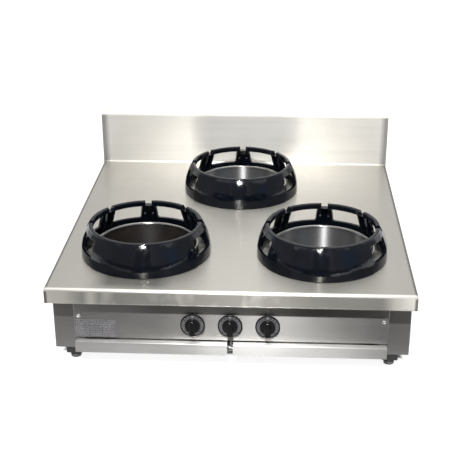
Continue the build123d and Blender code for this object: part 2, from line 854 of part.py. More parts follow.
def make_knob(key):
    rear = knob_back
    face = rear - skirt_thickness
    skirt = along_y(skirt_radius, face, rear)
    skirt = fillet(skirt.edges().filter_by(GeomType.CIRCLE), skirt_round)
    recess = along_y(dial_outer + dial_recess_gap, face - dial_thickness, face + dial_thickness)
    skirt -= recess - along_y(dial_inner - dial_recess_gap, face - dial_thickness,
                              face + dial_thickness)
    hub = along_y(hub_radius, face - hub_height, face)
    hub_rim = [edge for edge in hub.edges().filter_by(GeomType.CIRCLE)
               if edge.center().Y < face - hub_height / 2]
    hub = fillet(hub_rim, hub_round)
    grip = block(-grip_width / 2, grip_width / 2, face - grip_height, face - hub_round,
                 -grip_length / 2, grip_length / 2)
    grip = fillet(grip.edges().filter_by(Axis.Y), grip_width / 2 - grip_round / 2)
    grip_front = [edge for edge in grip.edges() if edge.center().Y < face - grip_height + match]
    grip = fillet(grip_front, grip_round)
    knob = skirt + hub + (grip & along_y(grip_length / 2, face - grip_height, face))
    knob -= spindle_shape(rear - knob_bore_depth - spindle_fit, rear + spindle_radius, spindle_fit)
    return Pos(knob_places[key], 0, knob_axis) * knob


def make_dial_ring(key):
    face = knob_back - skirt_thickness
    ring = along_y(dial_outer, face, face + dial_thickness)
    ring -= along_y(dial_inner, face - dial_thickness, face + 2 * dial_thickness)
    return Pos(knob_places[key], 0, knob_axis) * ring


def make_manifold():
    left = -knob_spacing - manifold_left_reach
    y = valve_middle
    manifold = along_x(manifold_radius, left, manifold_right, y, manifold_axis)
    manifold -= along_x(manifold_radius - manifold_wall, left + manifold_radius,
                        manifold_right + manifold_wall, y, manifold_axis)
    return manifold


def make_inlet_pipe():
    y = valve_middle
    start = manifold_right
    rise = manifold_axis + inlet_rise
    thread_end = body_back + inlet_stub
    elbow = [(start, y, manifold_axis), (inlet_x, y, manifold_axis), (inlet_x, y, rise),
             (inlet_x, thread_end - inlet_thread_length, rise)]
    line = pipe(elbow, inlet_bend, manifold_radius, manifold_radius - manifold_wall)
    thread = along_y(inlet_thread_radius, thread_end - inlet_thread_length, thread_end,
                     inlet_x, rise)
    thread -= along_y(manifold_radius - manifold_wall, thread_end - 2 * inlet_thread_length,
                      thread_end + inlet_thread_length, inlet_x, rise)
    return line + thread


# ---------------------------------------------------------------- feet
def foot_places():
    return {"front_left": (-foot_x, foot_y_front), "front_right": (foot_x, foot_y_front),
            "rear_left": (-foot_x, foot_y_rear), "rear_right": (foot_x, foot_y_rear)}


def make_foot_block(x, y):
    half = block_size / 2
    piece = block(x - half, x + half, y - half, y + half, block_low, body_bottom)
    piece = chamfer(piece.edges().filter_by(Axis.Z), block_edge)
    return piece - upright(stud_radius + stud_fit, 0, top, x, y)


def make_foot_blocks():
    return Compound(children=[make_foot_block(x, y) for x, y in foot_places().values()])


def make_foot(x, y):
    neck_top = block_low - slide_gap
    pad = upright(foot_radius, 0, foot_pad_height, x, y)
    pad = fillet(pad.edges().filter_by(GeomType.CIRCLE), foot_round)
    neck = upright(foot_neck_radius, foot_pad_height, neck_top, x, y)
    stud = upright(stud_radius, neck_top, body_bottom + stud_above_block, x, y)
    return pad + neck + stud


# ---------------------------------------------------------------- every node
save(make_worktop(), "worktop")
save(make_splashback(), "splashback")
side = make_side_panel()
save(side, "side_panel_right")
save(mirrored(side), "side_panel_left")
save(make_back_panel(), "back_panel")
save(make_upper_rail(), "upper_front_rail")
save(make_lower_rail(post_face, 1, post_inner), "lower_front_rail")
save(make_lower_rail(body_back, -1, post_inner), "lower_rear_rail")
save(make_beam(front + front_burner_setback), "front_burner_beam")
save(make_beam(front + rear_burner_setback), "rear_burner_beam")
save(make_control_panel(), "control_panel")
save(make_rating_plate(), "rating_plate")
save(make_panel_screws(), "panel_screws")
tray = make_tray()
save(tray, "drip_tray_right")
save(mirrored(tray), "drip_tray_left")
runner = make_side_runner()
save(runner, "tray_runner_right")
save(mirrored(runner), "tray_runner_left")
save(make_centre_runner(), "tray_runner_centre")
for name in burner_keys:
    save(make_well(name), "well_" + name)
    save(make_ring(name), "wok_ring_" + name)
    save(make_burner_base(name), "burner_base_" + name)
    save(make_burner_head(name), "burner_head_" + name)
    save(make_air_shutter(name), "air_shutter_" + name)
    save(make_injector_pipe(name), "injector_pipe_" + name)
    save(make_valve_body(name), "valve_body_" + name)
    save(make_valve_plug(name), "valve_plug_" + name)
    save(make_spindle(name), "spindle_" + name)
    save(make_knob(name), "knob_" + name)
    save(make_dial_ring(name), "dial_ring_" + name)
save(make_injectors(), "injectors")
save(make_pilots(), "pilot_burners")
save(make_manifold(), "gas_manifold")
save(make_inlet_pipe(), "gas_inlet_pipe")
save(make_foot_blocks(), "foot_blocks")
for name, (foot_place_x, foot_place_y) in foot_places().items():
    save(make_foot(foot_place_x, foot_place_y), "foot_" + name)
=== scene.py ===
import math

import bpy
from mathutils import Matrix, Vector


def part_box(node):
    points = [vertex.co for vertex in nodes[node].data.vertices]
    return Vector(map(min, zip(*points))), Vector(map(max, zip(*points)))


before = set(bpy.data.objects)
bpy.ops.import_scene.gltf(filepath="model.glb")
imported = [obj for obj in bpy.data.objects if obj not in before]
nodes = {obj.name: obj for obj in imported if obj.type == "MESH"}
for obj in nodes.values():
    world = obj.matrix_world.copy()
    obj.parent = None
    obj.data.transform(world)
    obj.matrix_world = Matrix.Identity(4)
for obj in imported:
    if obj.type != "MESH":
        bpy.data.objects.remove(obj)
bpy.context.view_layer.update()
BURNERS = ("left", "rear", "right")

scene = bpy.context.scene
scene.view_settings.view_transform = "Standard"

# Where the solids that carry marks begin and end, in metres.
worktop_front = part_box("worktop")[0][1]
worktop_side, _, worktop_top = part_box("worktop")[1]
splash_end, _, splash_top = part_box("splashback")[1]
well_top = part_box("well_left")[1][2]


# ---------------------------------------------------------------- node helpers
class Nodes:
    """Short calls for the shader nodes used here, on one node tree."""

    def __init__(self, tree):
        self.tree = tree

    def add(self, kind):
        return self.tree.nodes.new(kind)

    def join(self, output, socket):
        self.tree.links.new(output, socket)

    def put(self, socket, value):
        """Sets a socket to a number or colour, or links it."""
        if isinstance(value, bpy.types.NodeSocket):
            self.join(value, socket)
        else:
            socket.default_value = value

    def noise(self, vector, scale, detail=3.0, roughness=0.5, distortion=0.0):
        node = self.add("ShaderNodeTexNoise")
        self.join(vector, node.inputs["Vector"])
        node.inputs["Scale"].default_value = scale
        node.inputs["Detail"].default_value = detail
        node.inputs["Roughness"].default_value = roughness
        node.inputs["Distortion"].default_value = distortion
        return node.outputs["Fac"]

    def remap(self, value, low, high, new_low, new_high):
        """new_low at low, new_high at high, straight between them and level beyond."""
        node = self.add("ShaderNodeMapRange")
        self.put(node.inputs["Value"], value)
        node.inputs["From Min"].default_value = low
        node.inputs["From Max"].default_value = high
        node.inputs["To Min"].default_value = new_low
        node.inputs["To Max"].default_value = new_high
        return node.outputs["Result"]

    def ramp(self, value, start, end):
        """0 at start and 1 at end."""
        return self.remap(value, start, end, 0.0, 1.0)

    def band(self, value, low, high, soft):
        """1 between low and high, falling to 0 over soft on either side."""
        return self.times(self.ramp(value, low - soft, low),
                          self.remap(value, high, high + soft, 1.0, 0.0))

    def math(self, operation, first, second=0.0):
        node = self.add("ShaderNodeMath")
        node.operation = operation
        self.put(node.inputs[0], first)
        self.put(node.inputs[1], second)
        return node.outputs[0]

    def times(self, first, second):
        return self.math("MULTIPLY", first, second)

    def most(self, first, second):
        return self.math("MAXIMUM", first, second)

    def length(self, first, second):
        """How long the line is that has these two parts."""
        squares = self.math("ADD", self.times(first, first), self.times(second, second))
        return self.math("SQRT", squares)

    def mix(self, factor, first, second):
        """The first colour where factor is 0, the second where it is 1."""
        node = self.add("ShaderNodeMix")
        node.data_type = "RGBA"
        self.put(node.inputs["Factor"], factor)
        self.put(node.inputs["A"], first)
        self.put(node.inputs["B"], second)
        return node.outputs["Result"]

    def split(self, vector):
        node = self.add("ShaderNodeSeparateXYZ")
        self.join(vector, node.inputs[0])
        return node.outputs

    def surface_point(self, what):
        """Normal or Position of the point that is shaded, in the world's frame."""
        return self.add("ShaderNodeNewGeometry").outputs[what]

    def seen_or_reflected(self):
        """1 for camera and glossy rays, otherwise 0."""
        path = self.add("ShaderNodeLightPath")
        return self.most(path.outputs["Is Camera Ray"], path.outputs["Is Glossy Ray"])


class MaterialNodes(Nodes):
    """The nodes of a new material that has one shader of the given kind."""

    def __init__(self, name, kind):
        self.material = bpy.data.materials.new(name)
        self.material.use_nodes = True
        super().__init__(self.material.node_tree)
        self.tree.nodes.clear()
        self.output = self.add("ShaderNodeOutputMaterial")
        self.shader = self.add(kind)
        self.join(self.shader.outputs[0], self.output.inputs["Surface"])

    def set(self, **values):
        """Sets or links the shader's sockets, named with _ for a space."""
        for name, value in values.items():
            self.put(self.shader.inputs[name.replace("_", " ")], value)


class Surface(MaterialNodes):
    """The nodes of a piece's material, in the piece's own coordinates."""

    EDGE_SAMPLES = 4

    def __init__(self, name):
        super().__init__(name, "ShaderNodeBsdfPrincipled")
        self.coords = self.add("ShaderNodeTexCoord").outputs["Object"]

    def stretch(self, scale):
        node = self.add("ShaderNodeMapping")
        node.inputs["Scale"].default_value = scale
        self.join(self.coords, node.inputs["Vector"])
        return node.outputs[0]

    def bump(self, height, strength, distance, normal):
        node = self.add("ShaderNodeBump")
        node.inputs["Strength"].default_value = strength
        node.inputs["Distance"].default_value = distance
        self.join(height, node.inputs["Height"])
        self.join(normal, node.inputs["Normal"])
        return node.outputs[0]

    def edges(self, radius):
        """Rounded normal, and 1 on sharp edges falling to 0 on flat faces."""
        bevel = self.add("ShaderNodeBevel")
        bevel.samples = self.EDGE_SAMPLES
        bevel.inputs["Radius"].default_value = radius
        dot = self.add("ShaderNodeVectorMath")
        dot.operation = "DOT_PRODUCT"
        self.join(bevel.outputs[0], dot.inputs[0])
        self.join(self.surface_point("Normal"), dot.inputs[1])
        return bevel.outputs[0], self.ramp(dot.outputs["Value"], 0.98, 0.75)


def rgb(r, g, b):
    return (r, g, b, 1.0)


def scaled(colour, factor):
    return (colour[0] * factor, colour[1] * factor, colour[2] * factor, 1.0)


def from_face(face, depths):
    """Places this far from a face; inwards is below 0 for a face at its axis's high end."""
    return [face + depth for depth in depths]


# ---------------------------------------------------------------- brushed steel
# How the scratches are drawn out, and the line they follow. "x" runs from side to side, and
# "level" runs round the body. The lines lean up a little, because the tangent would vanish on a
# face that stands square to its line.
GRAIN_SCALES = {"x": (1.0, 90.0, 90.0), "level": (1.0, 1.0, 90.0)}
GRAIN_LINES = {"x": (1.0, 0.0, 0.02), "level": (1.0, 1.0, 0.02)}
# Tone of the cloudy, much handled parts, as a share of the colour.
CLOUD_TONE = 0.80


def lobe(across, along):
    """Roughness and anisotropy of a highlight with these slopes across and along the grain.

    Cycles takes roughness squared as the middle slope, and its slopes differ 10 times at most."""
    return (across * along) ** 0.25, min(1.0, (1.0 - along / across) / 0.9)


def brushed_nodes(name, colour, grain, across=0.46, along=0.046, flare=None, streaks=0.10,
                  smudge=0.03, cloudy=0.35, broad_tone=0.86, edge=0.0006, worn=0.35,
                  worn_tone=1.15):
    """Nodes of brushed metal, and its tone and roughness, not yet joined to the shader.

    across and along are the slopes of the highlight; in the deeper scratches flare takes the
    place of along. Tones are shares of the colour."""
    rough, aniso = lobe(across, along)
    deep_rough, deep_aniso = lobe(across, flare or along)
    n = Surface(name)
    scales = GRAIN_SCALES[grain]
    fine = n.noise(n.stretch(scales), 22.0, 4.0, 0.6)
    broad = n.noise(n.stretch(tuple(0.35 * s + 0.65 for s in scales)), 1.6, 3.0, 0.55)
    cloud = n.noise(n.coords, 5.0, 4.0, 0.55, 0.4)
    tone = n.mix(n.ramp(fine, 0.3, 0.7), scaled(colour, 1.0 - streaks),
                 scaled(colour, 1.0 + streaks * 0.6))
    tone = n.mix(n.remap(broad, 0.35, 0.7, 0.0, 0.6), tone, scaled(colour, broad_tone))
    tone = n.mix(n.remap(cloud, 0.4, 0.7, 0.0, cloudy), tone, scaled(colour, CLOUD_TONE))
    rounded, wear = n.edges(edge)
    # Sharp edges are lightened: rubbed wear on most metal, and on the dark rail a painted glint.
    tone = n.mix(n.times(wear, worn), tone, scaled(colour, worn_tone))
    deep = n.ramp(fine, 0.55, 0.65)
    roughness = n.math("ADD", n.remap(deep, 0.0, 1.0, rough, deep_rough),
                       n.remap(cloud, 0.35, 0.75, -smudge, smudge))
    if flare is not None:
        aniso = n.remap(deep, 0.0, 1.0, aniso, deep_aniso)
    tangent = n.add("ShaderNodeVectorMath")
    tangent.operation = "CROSS_PRODUCT"
    n.join(n.surface_point("Normal"), tangent.inputs[0])
    tangent.inputs[1].default_value = GRAIN_LINES[grain]
    n.set(Metallic=1.0, Normal=n.bump(fine, 0.05, 0.0004, rounded),
          Tangent=tangent.outputs["Vector"], Anisotropic=aniso)
    return n, tone, roughness


def brushed(name, colour, grain, **options):
    """Plain brushed metal."""
    n, tone, roughness = brushed_nodes(name, colour, grain, **options)
    n.set(Base_Color=tone, Roughness=roughness)
    return n.material


# Inside a wok ring's foot, in metres from its edge: where a mark begins and where it is full.
RING_FOOT = (-0.004, -0.012)


def inside_ring(n, place, key):
    """1 on what lies inside the foot of a wok ring, otherwise 0."""
    low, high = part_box("wok_ring_" + key)
    x = n.math("SUBTRACT", place["X"], (low[0] + high[0]) / 2)
    y = n.math("SUBTRACT", place["Y"], (low[1] + high[1]) / 2)
    foot = (high[0] - low[0]) / 2
    return n.ramp(n.length(x, y), *from_face(foot, RING_FOOT))


# Painted glints on the apron: place along x, half width and soft border, in metres.
PAINTED_GLINTS = ((-0.335, 0.004, 0.018), (-0.42, 0.018, 0.05), (0.43, 0.035, 0.03))
# Depths, in metres, at which a mark on the worktop begins and is full: the apron's face and the
# bend behind it, the bend under the top face, and the bends at the sides.
APRON_FACE, FRONT_BEND, TOP_BEND = (0.006, 0.002), (0.009, 0.006), (-0.008, -0.006)
SIDE_BEND = (-0.009, -0.006)
# The painted dark reflection of the left ring: its place along x and behind the front, with the
# widths of its borders.
PAINTED_REFLECTION_X, PAINTED_REFLECTION_BORDER_X = (-0.30, -0.18), 0.04
PAINTED_REFLECTION_DEPTH, PAINTED_REFLECTION_BORDER_Y = (0.034, 0.075), 0.03
# Tones of the worktop's marks, as shares of its colour.
PAINTED_HIGHLIGHT_TONE, PAINTED_SIDE_SHADE_TONE, PAINTED_REFLECTION_TONE, INSIDE_RING_TONE = 1.72, 0.5, 0.5, 0.16
PAINTED_HIGHLIGHT_SHARE = 0.95


def worktop_sheet(name, colour):
    """The worktop: brushed, with a painted highlight on the front bend, painted shade on the side
    bends, painted glints and highlights along the apron, a painted dark reflection of the left
    ring in front of it, and darker blotches inside the rings."""
    n, tone, roughness = brushed_nodes(name, colour, "x", across=0.30, along=0.06, edge=0.004,
                                       broad_tone=0.95)
    place = n.split(n.coords)
    apron = n.ramp(place["Y"], *from_face(worktop_front, APRON_FACE))
    # Soft patches and glints along the apron are lightened: painted highlights and reflections.
    patches = n.noise(n.stretch((1.0, 0.0, 0.6)), 9.0, 3.0, 0.6)
    painted_highlight = n.times(apron, n.ramp(patches, 0.52, 0.68))
    for middle, reach, soft in PAINTED_GLINTS:
        painted_glint = n.times(apron, n.band(place["X"], middle - reach, middle + reach, soft))
        painted_highlight = n.most(painted_highlight, painted_glint)
    tone = n.mix(n.times(painted_highlight, PAINTED_HIGHLIGHT_SHARE), tone, scaled(colour, PAINTED_HIGHLIGHT_TONE))
    # A dark patch in front of the left ring: a painted reflection of the ring.
    painted_ring_reflection = n.times(n.band(place["X"], *PAINTED_REFLECTION_X, PAINTED_REFLECTION_BORDER_X),
                   n.band(place["Y"], *from_face(worktop_front, PAINTED_REFLECTION_DEPTH), PAINTED_REFLECTION_BORDER_Y))
    painted_ring_reflection = n.times(painted_ring_reflection, n.remap(patches, 0.3, 0.6, 0.7, 1.0))
    tone = n.mix(painted_ring_reflection, tone, scaled(colour, PAINTED_REFLECTION_TONE))
    # The bends at the sides are darkened: painted shade.
    side = n.ramp(n.math("ABSOLUTE", place["X"]), *from_face(worktop_side, SIDE_BEND))
    tone = n.mix(side, tone, scaled(colour, PAINTED_SIDE_SHADE_TONE))
    # The front bend is lightened along its length: a painted highlight.
    bend = n.times(n.ramp(place["Y"], *from_face(worktop_front, FRONT_BEND)),
                   n.ramp(place["Z"], *from_face(worktop_top, TOP_BEND)))
    tone = n.mix(bend, tone, scaled(colour, PAINTED_HIGHLIGHT_TONE))
    # Inside each ring's foot the worktop is darker, in blotches.
    blotches = n.remap(n.noise(n.coords, 45.0, 4.0, 0.6, 0.6), 0.35, 0.6, 1.0, 0.5)
    for key in BURNERS:
        dark_blotches = n.times(inside_ring(n, place, key), blotches)
        tone = n.mix(dark_blotches, tone, scaled(colour, INSIDE_RING_TONE))
    n.set(Base_Color=tone, Roughness=roughness)
    return n.material


# The splashback's marks: depths below its top where the return ends, lit by a painted highlight,
# and the band of painted shade round each end, in metres, with the tones of both.
TOP_RETURN, PAINTED_RETURN_HIGHLIGHT_TONE = (-0.004, -0.010), 1.4
PAINTED_END_SHADE, PAINTED_END_SHADE_BORDER, PAINTED_END_SHADE_TONE = (-0.008, 0.01), 0.016, 0.42


def splash_sheet(name, colour):
    """The splashback: brushed, with bands of painted shade round its folded and welded ends, and
    a painted highlight on the top return."""
    n, tone, roughness = brushed_nodes(name, colour, "x", across=0.42, along=0.12,
                                       streaks=0.05, cloudy=0.25)
    place = n.split(n.coords)
    below_top = n.ramp(place["Z"], *from_face(splash_top, TOP_RETURN))
    end = n.band(n.math("ABSOLUTE", place["X"]), *from_face(splash_end, PAINTED_END_SHADE), PAINTED_END_SHADE_BORDER)
    # The top return is lightened: a painted highlight.
    tone = n.mix(below_top, scaled(colour, PAINTED_RETURN_HIGHLIGHT_TONE), tone)
    # Bands round the ends are darkened: painted shade.
    tone = n.mix(n.times(end, below_top), tone, scaled(colour, PAINTED_END_SHADE_TONE))
    n.set(Base_Color=tone, Roughness=roughness)
    return n.material


# ---------------------------------------------------------------- other materials
# A well's bead, in metres from its top: where it begins and is full. Then its colours.
BEAD = (-0.0065, -0.0045)
# The bead's light colour is a painted highlight.
BEAD_PAINTED_HIGHLIGHT = rgb(0.80, 0.79, 0.76)
BLACK_SOOT, BROWN_SOOT = rgb(0.012, 0.010, 0.009), rgb(0.034, 0.024, 0.018)
# The line that a well's grain follows, leaning a little as the sheets' lines do.
UPRIGHT = (0.02, 0.03, 1.0)


def well_wall(name, colour, soot):
    """A burner well: spun steel with a painted highlight on its bead, more or less sooty inside.
    """
    n = Surface(name)
    fine = n.noise(n.stretch((1.0, 1.0, 60.0)), 30.0, 4.0, 0.6)
    grime = n.noise(n.coords, 26.0, 5.0, 0.62, 0.8)
    specks = n.noise(n.coords, 160.0, 3.0, 0.6)
    bead = n.ramp(n.split(n.coords)["Z"], *from_face(well_top, BEAD))
    tone = n.mix(n.ramp(fine, 0.3, 0.7), scaled(colour, 0.88), scaled(colour, 1.08))
    dark_blotches = n.mix(n.ramp(grime, 0.40, 0.72), BLACK_SOOT, BROWN_SOOT)
    dirty = n.times(n.ramp(grime, 0.75 - 0.9 * soot, 0.85 - 0.8 * soot), min(1.0, 0.25 + soot))
    tone = n.mix(dirty, tone, dark_blotches)
    tone = n.mix(bead, tone, BEAD_PAINTED_HIGHLIGHT)
    clean = n.math("SUBTRACT", 1.0, n.times(dirty, n.math("SUBTRACT", 1.0, bead)))
    rounded, _ = n.edges(0.0006)
    normal = n.bump(fine, 0.06, 0.0004, rounded)
    normal = n.bump(specks, 0.10 + 0.3 * soot, 0.0008, normal)
    tangent = n.add("ShaderNodeCombineXYZ")
    for axis, part in zip("XYZ", UPRIGHT):
        tangent.inputs[axis].default_value = part
    n.set(Base_Color=tone, Metallic=n.remap(clean, 0.0, 1.0, 0.1, 1.0),
          Roughness=n.remap(clean, 0.0, 1.0, 0.75, 0.40), Anisotropic=1.0, Normal=normal,
          Tangent=tangent.outputs["Vector"])
    return n.material


# The dial's marks, in radians from the top: the dots, and half the widths of a dot and of the
# tick with their borders. They lie on a track, given as shares of the ring's outer radius.
DOT_TURNS = (-2.30, -0.95, -0.60, -0.30, 0.30, 0.60, 0.95, 2.30)
DOT_REACH, DOT_BORDER = 0.055, 0.02
TICK_REACH, TICK_BORDER = 0.06, 0.03
TRACK_INNER, TRACK_OUTER, TRACK_BORDER = 0.84, 0.93, 0.02
DOT_INK, TICK_INK = rgb(0.02, 0.02, 0.022), rgb(0.80, 0.80, 0.78)


def dial_face(name, colour, key):
    """A knob's grey dial ring, with one white tick at the top and plain dark dots round it."""
    low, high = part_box("dial_ring_" + key)
    outer = (high[0] - low[0]) / 2
    n = Surface(name)
    fine = n.noise(n.coords, 500.0, 3.0, 0.6)
    cloud = n.noise(n.coords, 60.0, 3.0, 0.5)
    place = n.split(n.coords)
    across = n.math("SUBTRACT", place["X"], (low[0] + high[0]) / 2)
    up = n.math("SUBTRACT", place["Z"], (low[2] + high[2]) / 2)
    angle = n.math("ARCTAN2", across, up)
    tone = n.mix(n.remap(cloud, 0.35, 0.75, 0.0, 0.6), colour, scaled(colour, 0.75))
    track = n.band(n.length(across, up), outer * TRACK_INNER, outer * TRACK_OUTER,
                   outer * TRACK_BORDER)
    dots = 0.0
    for turn in DOT_TURNS:
        dot = n.band(angle, turn - DOT_REACH, turn + DOT_REACH, DOT_BORDER)
        dots = n.most(dots, n.times(dot, track))
    tick = n.times(n.band(angle, -TICK_REACH, TICK_REACH, TICK_BORDER), track)
    tone = n.mix(dots, tone, DOT_INK)
    tone = n.mix(tick, tone, TICK_INK)
    rounded, _ = n.edges(0.0005)
    n.set(Base_Color=tone, Metallic=0.5, Roughness=n.remap(cloud, 0.3, 0.7, 0.38, 0.5),
          Normal=n.bump(fine, 0.10, 0.0003, rounded))
    return n.material


# The rating plate's rules, as shares of its height and of its width: where each begins, how
# thick it is and how soft its border is. The top rule is thicker than the other level ones.
TOP_RULE = (0.93, 0.955)
LEVEL_RULES, LEVEL_THICK, LEVEL_BORDER = (0.05, 0.20, 0.35, 0.50, 0.65, 0.80), 0.022, 0.01
UPRIGHT_RULES, UPRIGHT_THICK, UPRIGHT_BORDER = (0.025, 0.34, 0.66, 0.965), 0.010, 0.004
RULE_INK, INK_SHARE = rgb(0.07, 0.07, 0.08), 0.5


def ruled_plate(name, colour):
    """The bare rating plate: printed rules and a mottled, much used face, without any lettering.
    """
    low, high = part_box("rating_plate")
    n = Surface(name)
    place = n.split(n.coords)
    along = n.math("DIVIDE", n.math("SUBTRACT", place["X"], low[0]), high[0] - low[0])
    up = n.math("DIVIDE", n.math("SUBTRACT", place["Z"], low[2]), high[2] - low[2])
    mottle = n.noise(n.coords, 260.0, 4.0, 0.7)
    cloud = n.noise(n.coords, 45.0, 3.0, 0.55)
    tone = n.mix(n.ramp(cloud, 0.3, 0.7), colour, scaled(colour, 0.72))
    tone = n.mix(n.remap(mottle, 0.44, 0.60, 0.0, 0.65), tone, scaled(colour, 0.30))
    rules = n.band(up, *TOP_RULE, LEVEL_BORDER)
    for start in LEVEL_RULES:
        rules = n.most(rules, n.band(up, start, start + LEVEL_THICK, LEVEL_BORDER))
    for start in UPRIGHT_RULES:
        rules = n.most(rules, n.band(along, start, start + UPRIGHT_THICK, UPRIGHT_BORDER))
    inside = n.times(n.band(along, 0.03, 0.97, 0.005), n.band(up, 0.06, 0.95, 0.01))
    tone = n.mix(n.times(n.times(rules, inside), INK_SHARE), tone, RULE_INK)
    rounded, _ = n.edges(0.0004)
    n.set(Base_Color=tone, Metallic=0.6, Roughness=n.remap(mottle, 0.3, 0.7, 0.35, 0.55),
          Normal=n.bump(mottle, 0.15, 0.0002, rounded))
    return n.material


WORN_ENAMEL = rgb(0.04, 0.05, 0.065)
RUST = rgb(0.09, 0.05, 0.03)


def enamel(name, colour):
    """Glossy vitreous enamel over rough cast iron."""
    n = Surface(name)
    flow = n.noise(n.coords, 16.0, 3.0, 0.5, 0.6)
    peel = n.noise(n.coords, 70.0, 2.0, 0.5)
    pits = n.noise(n.coords, 420.0, 2.0, 0.6)
    rounded, wear = n.edges(0.0012)
    tone = n.mix(n.ramp(flow, 0.35, 0.7), colour, scaled(colour, 0.45))
    tone = n.mix(n.times(wear, 0.5), tone, WORN_ENAMEL)
    normal = n.bump(flow, 0.25, 0.006, rounded)
    normal = n.bump(peel, 0.12, 0.0012, normal)
    normal = n.bump(pits, 0.06, 0.0003, normal)
    n.set(Base_Color=tone, Roughness=n.remap(peel, 0.3, 0.7, 0.05, 0.16), IOR=1.5,
          Normal=normal)
    return n.material


def cast(name, colour, rough=0.65):
    """Raw cast iron."""
    n = Surface(name)
    sand = n.noise(n.coords, 600.0, 4.0, 0.65)
    rust = n.noise(n.coords, 24.0, 5.0, 0.6, 0.5)
    rounded, wear = n.edges(0.0008)
    tone = n.mix(n.remap(rust, 0.5, 0.75, 0.0, 0.5), colour, RUST)
    tone = n.mix(n.times(wear, 0.5), tone, scaled(colour, 2.2))
    n.set(Base_Color=tone, Metallic=0.55,
          Roughness=n.remap(sand, 0.3, 0.7, rough - 0.1, rough + 0.12),
          Normal=n.bump(sand, 0.5, 0.0006, rounded))
    return n.material


def turned(name, colour, rough, metallic=1.0, scale=300.0, stain=None):
    """Machined or drawn metal with a fine mottled surface."""
    n = Surface(name)
    fine = n.noise(n.coords, scale, 3.0, 0.6)
    cloud = n.noise(n.coords, 40.0, 3.0, 0.5)
    rounded, wear = n.edges(0.0005)
    tone = n.mix(n.remap(cloud, 0.35, 0.75, 0.0, 0.6), colour, stain or scaled(colour, 0.75))
    tone = n.mix(n.times(wear, 0.4), tone, scaled(colour, 1.2))
    n.set(Base_Color=tone, Metallic=metallic,
          Roughness=n.remap(cloud, 0.3, 0.7, rough, rough + 0.12),
          Normal=n.bump(fine, 0.12, 0.0003, rounded))
    return n.material


def plastic(name, colour, rough, bump=0.12):
    """Moulded plastic with a fine grain and edges rubbed lighter."""
    n = Surface(name)
    fine = n.noise(n.coords, 900.0, 2.0, 0.6)
    cloud = n.noise(n.coords, 30.0, 3.0, 0.5)
    rounded, wear = n.edges(0.0007)
    tone = n.mix(n.ramp(cloud, 0.3, 0.75), colour, scaled(colour, 1.5))
    tone = n.mix(n.times(wear, 0.35), tone, scaled(colour, 3.0))
    n.set(Base_Color=tone, Roughness=n.remap(cloud, 0.3, 0.7, rough, rough + 0.10),
          Normal=n.bump(fine, bump, 0.0002, rounded))
    return n.material


# ---------------------------------------------------------------- what each piece wears
panel_steel = brushed("panel_steel", rgb(0.40, 0.39, 0.375), "x", across=0.39, along=0.037,
                      flare=0.085)
side_steel = brushed("side_steel", rgb(0.26, 0.252, 0.245), "level", across=0.40, along=0.20)
tray_steel = brushed("tray_steel", rgb(0.67, 0.66, 0.64), "x", along=0.062, smudge=0.05,
                     streaks=0.16, cloudy=0.8, broad_tone=0.66)
# The lower front rail: its dark colour is painted shade, and its very bright edges a painted
# glint.
rail_painted_shade_glint = brushed("rail_painted_shade_glint", rgb(0.11, 0.11, 0.11), "x", edge=0.002, worn=1.0,
                     worn_tone=7.5)
frame_steel = brushed("frame_steel", rgb(0.50, 0.50, 0.49), "x")
shutter_steel = turned("shutter_steel", rgb(0.55, 0.55, 0.55), 0.35)
valve_brass = turned("valve_brass", rgb(0.70, 0.52, 0.24), 0.28)
gas_pipe = turned("gas_pipe", rgb(0.42, 0.43, 0.43), 0.45, 0.8, 120.0, rgb(0.30, 0.31, 0.31))

PIECES_BY_LOOK = (
    (worktop_sheet("worktop_steel", rgb(0.55, 0.53, 0.486)), "worktop"),
    (splash_sheet("splash_steel", rgb(0.67, 0.655, 0.62)), "splashback"),
    (panel_steel, "control_panel back_panel"),
    (side_steel, "side_panel_left side_panel_right"),
    (tray_steel, "drip_tray_left drip_tray_right"),
    (rail_painted_shade_glint, "lower_front_rail"),
    (frame_steel, "upper_front_rail lower_rear_rail front_burner_beam rear_burner_beam "
                  "tray_runner_left tray_runner_right tray_runner_centre"),
    (ruled_plate("plate_metal", rgb(0.44, 0.43, 0.45)), "rating_plate"),
    (turned("screw_steel", rgb(0.93, 0.93, 0.92), 0.42), "panel_screws"),
    (valve_brass, "injectors"),
    (shutter_steel, "pilot_burners"),
    (gas_pipe, "gas_manifold gas_inlet_pipe"),
    (plastic("block_plastic", rgb(0.015, 0.015, 0.016), 0.40), "foot_blocks"),
    (plastic("foot_plastic", rgb(0.09, 0.095, 0.10), 0.28),
     "foot_front_left foot_front_right foot_rear_left foot_rear_right"),
)
# The same, for the pieces that every burner has, without the burner's name at the end.
BURNER_PIECES_BY_LOOK = (
    (enamel("ring_enamel", rgb(0.004, 0.006, 0.011)), "wok_ring"),
    (cast("burner_iron", rgb(0.05, 0.05, 0.055)), "burner_base burner_head"),
    (shutter_steel, "air_shutter"),
    (turned("tube_aluminium", rgb(0.66, 0.66, 0.66), 0.30), "injector_pipe"),
    (valve_brass, "valve_body valve_plug"),
    (turned("spindle_steel", rgb(0.65, 0.65, 0.65), 0.25), "spindle"),
    (plastic("knob_plastic", rgb(0.004, 0.004, 0.005), 0.20, bump=0.05), "knob"),
)
WELL_SOOT = {"left": 1.0, "rear": 0.15, "right": 0.15}

looks = {name: look for look, names in PIECES_BY_LOOK for name in names.split()}
for key in BURNERS:
    for look, names in BURNER_PIECES_BY_LOOK:
        for name in names.split():
            looks[name + "_" + key] = look
    looks["well_" + key] = well_wall("well_wall_" + key, rgb(0.42, 0.42, 0.42), WELL_SOOT[key])
    looks["dial_ring_" + key] = dial_face("dial_face_" + key, rgb(0.24, 0.24, 0.25), key)

for name, piece in nodes.items():
    piece.data.materials.clear()
    piece.data.materials.append(looks[name])


